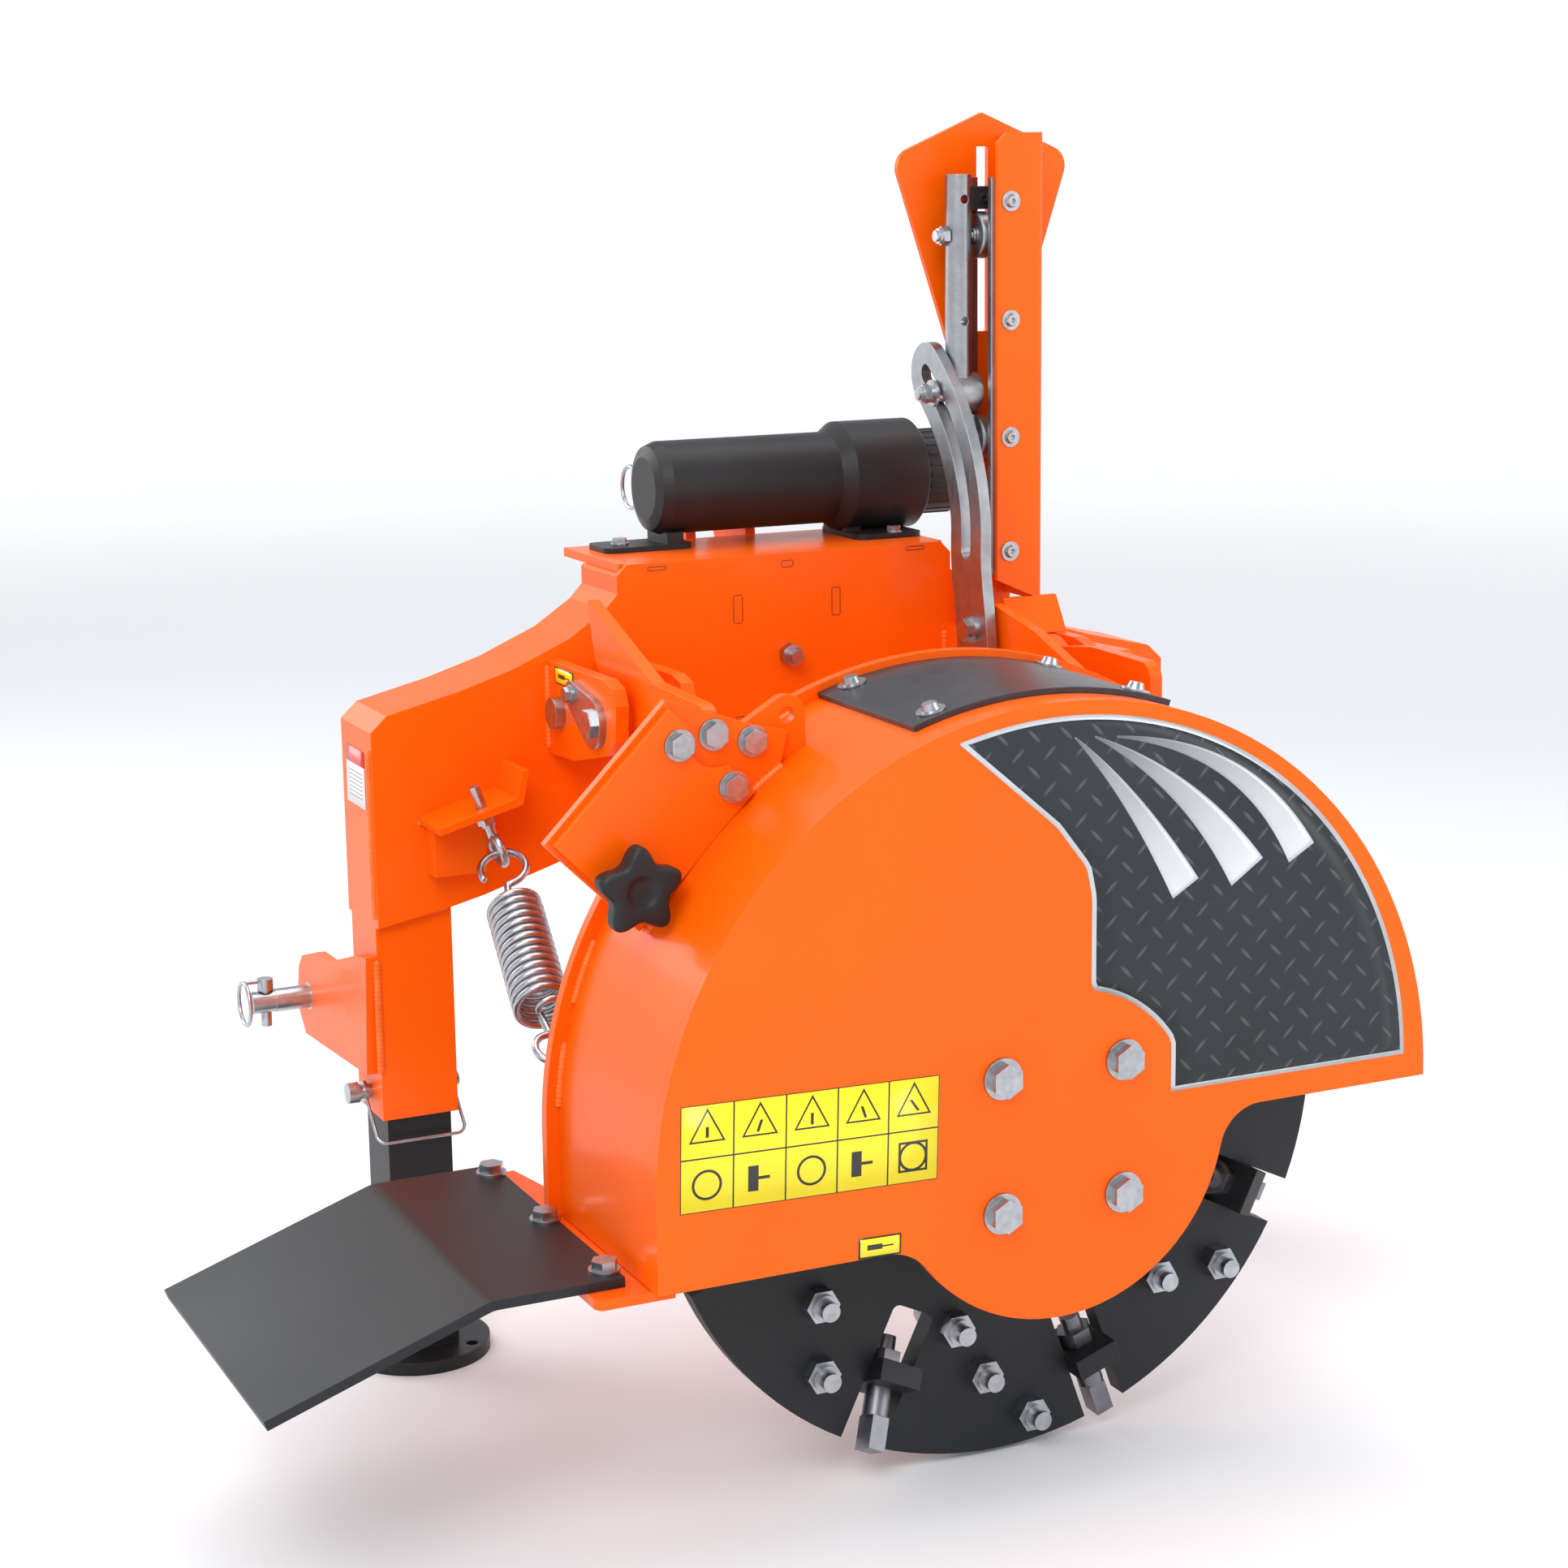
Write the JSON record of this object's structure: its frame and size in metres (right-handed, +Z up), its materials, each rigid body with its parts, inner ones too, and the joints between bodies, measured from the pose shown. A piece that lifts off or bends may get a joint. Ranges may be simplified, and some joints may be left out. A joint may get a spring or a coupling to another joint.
{
  "type": "stump grinder",
  "caption": "Tractor-mounted stump grinder: guarded cutter disc on a sprung swinging head, hitch frame with parking legs, and a depth indicator tower.",
  "frame": {"origin": "centre of the power take-off shaft's end face, on the cutter disc's axis", "axes": "+Y along the shaft towards the tractor, +X along the head's hinge to the right seen from the cutter side, +Z up"},
  "size_m": [1.121, 0.753, 1.107],
  "materials": {
    "orange_paint": "gloss",
    "black_paint": "satin",
    "zinc": "satin",
    "bright_steel": "satin",
    "tool_steel": "satin",
    "cast_housing": "matte",
    "black_plastic": "matte",
    "rubber": "satin"
  },
  "bodies": {
    "frame": {"frame_front_plate": "orange_paint", "frame_rear_plate": "orange_paint", "frame_edge_strips": "orange_paint", "frame_deck": "orange_paint", "leg_sleeve_left": "orange_paint", "leg_sleeve_right": "orange_paint", "leg_pins": "zinc", "hitch_plates": "orange_paint", "toplink_clevis": "orange_paint", "hitch_pins": "zinc", "hinge_ears": "orange_paint", "hinge_pins": "zinc", "frame_bolts": "zinc", "spring_bracket": "orange_paint", "eye_bolt": "zinc", "spring": "zinc", "fan_plate": "orange_paint", "tower_channel": "orange_paint", "guide_strips": "bright_steel", "tower_screws": "zinc", "canister": "black_plastic"},
    "head": {"guard_front_plate": "orange_paint", "guard_rear_plate": "orange_paint", "guard_rim": "orange_paint", "rubber_flap": "rubber", "flap_bolts": "zinc", "bracket_plate": "orange_paint", "cover_plate": "orange_paint", "lifting_eye": "orange_paint", "ramp_flange": "orange_paint", "ramp_plate": "black_paint", "flange_bolts": "zinc", "bearing_units": "cast_housing", "bearing_bolts": "zinc", "swing_arms": "orange_paint", "cam_link_arm": "orange_paint", "cam_link": "bright_steel", "arm_bolts": "zinc", "spring_lug": "orange_paint"},
    "cutter": {"spindle_shaft": "bright_steel", "disc_hub": "black_paint", "cutter_disc": "black_paint", "tooth_holders": "black_paint", "pocket_teeth": "tool_steel", "side_teeth": "zinc", "hub_bolts": "zinc"},
    "carriage": {"carriage_bar": "bright_steel", "carriage_bolts": "zinc", "pointer": "black_plastic"},
    "upper_roller": {"guide_roller_upper": "bright_steel"},
    "lower_roller": {"guide_roller_lower": "bright_steel"},
    "knob": {"star_knob": "black_plastic"},
    "left_leg": {"parking_leg_left": "black_paint"},
    "right_leg": {"parking_leg_right": "black_paint"},
    "left_bail": {"pin_bail_left": "zinc"},
    "right_bail": {"pin_bail_right": "zinc"},
    "left_linchpin": {"linchpin_left": "zinc"},
    "right_linchpin": {"linchpin_right": "zinc"},
    "top_linchpin": {"linchpin_top": "zinc"},
    "cap": {"canister_cap": "black_plastic"}
  },
  "joints": [
    {"name": "head_swing", "type": "hinge", "parent": "frame", "child": "head", "pos_m": [0, 0.044, 0.291], "axis": [-1, 0, 0], "range_deg": [0, 16], "deforming": ["spring"]},
    {"name": "cutter_spin", "type": "hinge", "parent": "head", "child": "cutter", "pos_m": [0, 0, 0], "axis": [0, 1, 0], "continuous": true},
    {"name": "carriage_slide", "type": "slide", "parent": "frame", "child": "carriage", "axis": [0, 0, -1], "range_m": [0, 0.08907]},
    {"name": "upper_roller_spin", "type": "hinge", "parent": "carriage", "child": "upper_roller", "pos_m": [0.172, 0.111, 0.69], "axis": [1, 0, 0], "continuous": true},
    {"name": "lower_roller_spin", "type": "hinge", "parent": "carriage", "child": "lower_roller", "pos_m": [0.172, 0.111, 0.508], "axis": [1, 0, 0], "continuous": true},
    {"name": "knob_turn", "type": "hinge", "parent": "head", "child": "knob", "pos_m": [-0.323, -0.23, 0.219], "axis": [0, 1, 0], "continuous": true},
    {"name": "left_leg_slide", "type": "slide", "parent": "frame", "child": "left_leg", "axis": [0, 0, -1], "range_m": [0, 0.15]},
    {"name": "right_leg_slide", "type": "slide", "parent": "frame", "child": "right_leg", "axis": [0, 0, -1], "range_m": [0, 0.15]},
    {"name": "left_bail_swing", "type": "hinge", "parent": "frame", "child": "left_bail", "pos_m": [-0.366, 0.201, -0.056], "axis": [-1, 0, 0], "range_deg": [0, 60]},
    {"name": "right_bail_swing", "type": "hinge", "parent": "frame", "child": "right_bail", "pos_m": [0.366, 0.201, -0.056], "axis": [-1, 0, 0], "range_deg": [0, 60]},
    {"name": "left_linchpin_pull", "type": "slide", "parent": "frame", "child": "left_linchpin", "axis": [0, 0, 1], "range_m": [0, 0.06]},
    {"name": "right_linchpin_pull", "type": "slide", "parent": "frame", "child": "right_linchpin", "axis": [0, 0, 1], "range_m": [0, 0.06]},
    {"name": "top_linchpin_pull", "type": "slide", "parent": "frame", "child": "top_linchpin", "axis": [0, 0, 1], "range_m": [0, 0.06]},
    {"name": "cap_pull", "type": "slide", "parent": "frame", "child": "cap", "axis": [1, 0, 0], "range_m": [0, 0.09]}
  ],
  "couplings": [
    {"joint": "carriage_slide", "follows": "head_swing", "m_per_rad": 0.31717}
  ]
}
